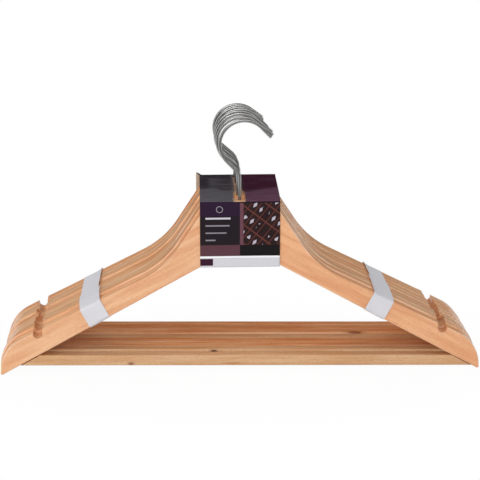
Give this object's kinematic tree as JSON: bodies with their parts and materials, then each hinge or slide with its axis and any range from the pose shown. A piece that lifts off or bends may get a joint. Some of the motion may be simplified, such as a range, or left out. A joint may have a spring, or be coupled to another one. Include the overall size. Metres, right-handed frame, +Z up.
{
  "type": "wooden clothes hanger",
  "caption": "Tied bundle of flat wooden clothes hangers with strap notches, trouser bars and swivelling steel wire hooks, held by a card sleeve and two white bands.",
  "frame": {"origin": "on the ground under the middle of the bundle, which stands on the tips of its arms", "axes": "+X to the right along the span, +Y from the front hanger to the back one, +Z up"},
  "size_m": [0.4464, 0.0998, 0.2386],
  "materials": {
    "arm_wood": "clear lacquered softwood",
    "bar_wood": "clear lacquered softwood",
    "dowel_wood": "raw",
    "chromed_wire": "plated, drawn wire",
    "zinc_steel": "zinc plated",
    "printed_card": "printed, varnished",
    "white_band": "matt white"
  },
  "bodies": {
    "bundle": {"left_arm_1": "arm_wood", "right_arm_1": "arm_wood", "trouser_bar_1": "bar_wood", "left_bar_dowel_1": "dowel_wood", "right_bar_dowel_1": "dowel_wood", "hook_washer_1": "zinc_steel", "left_arm_2": "arm_wood", "right_arm_2": "arm_wood", "trouser_bar_2": "bar_wood", "left_bar_dowel_2": "dowel_wood", "right_bar_dowel_2": "dowel_wood", "hook_washer_2": "zinc_steel", "left_arm_3": "arm_wood", "right_arm_3": "arm_wood", "trouser_bar_3": "bar_wood", "left_bar_dowel_3": "dowel_wood", "right_bar_dowel_3": "dowel_wood", "hook_washer_3": "zinc_steel", "left_arm_4": "arm_wood", "right_arm_4": "arm_wood", "trouser_bar_4": "bar_wood", "left_bar_dowel_4": "dowel_wood", "right_bar_dowel_4": "dowel_wood", "hook_washer_4": "zinc_steel", "left_arm_5": "arm_wood", "right_arm_5": "arm_wood", "trouser_bar_5": "bar_wood", "left_bar_dowel_5": "dowel_wood", "right_bar_dowel_5": "dowel_wood", "hook_washer_5": "zinc_steel", "left_arm_6": "arm_wood", "right_arm_6": "arm_wood", "trouser_bar_6": "bar_wood", "left_bar_dowel_6": "dowel_wood", "right_bar_dowel_6": "dowel_wood", "hook_washer_6": "zinc_steel", "left_arm_7": "arm_wood", "right_arm_7": "arm_wood", "trouser_bar_7": "bar_wood", "left_bar_dowel_7": "dowel_wood", "right_bar_dowel_7": "dowel_wood", "hook_washer_7": "zinc_steel", "left_arm_8": "arm_wood", "right_arm_8": "arm_wood", "trouser_bar_8": "bar_wood", "left_bar_dowel_8": "dowel_wood", "right_bar_dowel_8": "dowel_wood", "hook_washer_8": "zinc_steel", "card_sleeve": "printed_card", "left_band": "white_band", "right_band": "white_band"},
    "hook_1": {"hook_1": "chromed_wire"},
    "hook_2": {"hook_2": "chromed_wire"},
    "hook_3": {"hook_3": "chromed_wire"},
    "hook_4": {"hook_4": "chromed_wire"},
    "hook_5": {"hook_5": "chromed_wire"},
    "hook_6": {"hook_6": "chromed_wire"},
    "hook_7": {"hook_7": "chromed_wire"},
    "hook_8": {"hook_8": "chromed_wire"}
  },
  "joints": [
    {"name": "hook_1_swivel", "type": "hinge", "parent": "bundle", "child": "hook_1", "pos_m": [-0.0009, -0.04305, 0.18], "axis": [0, 0, 1], "range_deg": [-60, 60]},
    {"name": "hook_2_swivel", "type": "hinge", "parent": "bundle", "child": "hook_2", "pos_m": [-0.0019, -0.03075, 0.18], "axis": [0, 0, 1], "range_deg": [-60, 60]},
    {"name": "hook_3_swivel", "type": "hinge", "parent": "bundle", "child": "hook_3", "pos_m": [-0.0006, -0.01845, 0.18], "axis": [0, 0, 1], "range_deg": [-60, 60]},
    {"name": "hook_4_swivel", "type": "hinge", "parent": "bundle", "child": "hook_4", "pos_m": [-0.0014, -0.00615, 0.18], "axis": [0, 0, 1], "range_deg": [-60, 60]},
    {"name": "hook_5_swivel", "type": "hinge", "parent": "bundle", "child": "hook_5", "pos_m": [-0.0005, 0.00615, 0.18], "axis": [0, 0, 1], "range_deg": [-60, 60]},
    {"name": "hook_6_swivel", "type": "hinge", "parent": "bundle", "child": "hook_6", "pos_m": [-0.0017, 0.01845, 0.18], "axis": [0, 0, 1], "range_deg": [-60, 60]},
    {"name": "hook_7_swivel", "type": "hinge", "parent": "bundle", "child": "hook_7", "pos_m": [-0.0011, 0.03075, 0.18], "axis": [0, 0, 1], "range_deg": [-60, 60]},
    {"name": "hook_8_swivel", "type": "hinge", "parent": "bundle", "child": "hook_8", "pos_m": [-0.0018, 0.04305, 0.18], "axis": [0, 0, 1], "range_deg": [-60, 60]}
  ],
  "couplings": [
    {"joint": "hook_2_swivel", "follows": "hook_1_swivel", "ratio": 1},
    {"joint": "hook_3_swivel", "follows": "hook_1_swivel", "ratio": 1},
    {"joint": "hook_4_swivel", "follows": "hook_1_swivel", "ratio": 1},
    {"joint": "hook_5_swivel", "follows": "hook_1_swivel", "ratio": 1},
    {"joint": "hook_6_swivel", "follows": "hook_1_swivel", "ratio": 1},
    {"joint": "hook_7_swivel", "follows": "hook_1_swivel", "ratio": 1},
    {"joint": "hook_8_swivel", "follows": "hook_1_swivel", "ratio": 1}
  ]
}
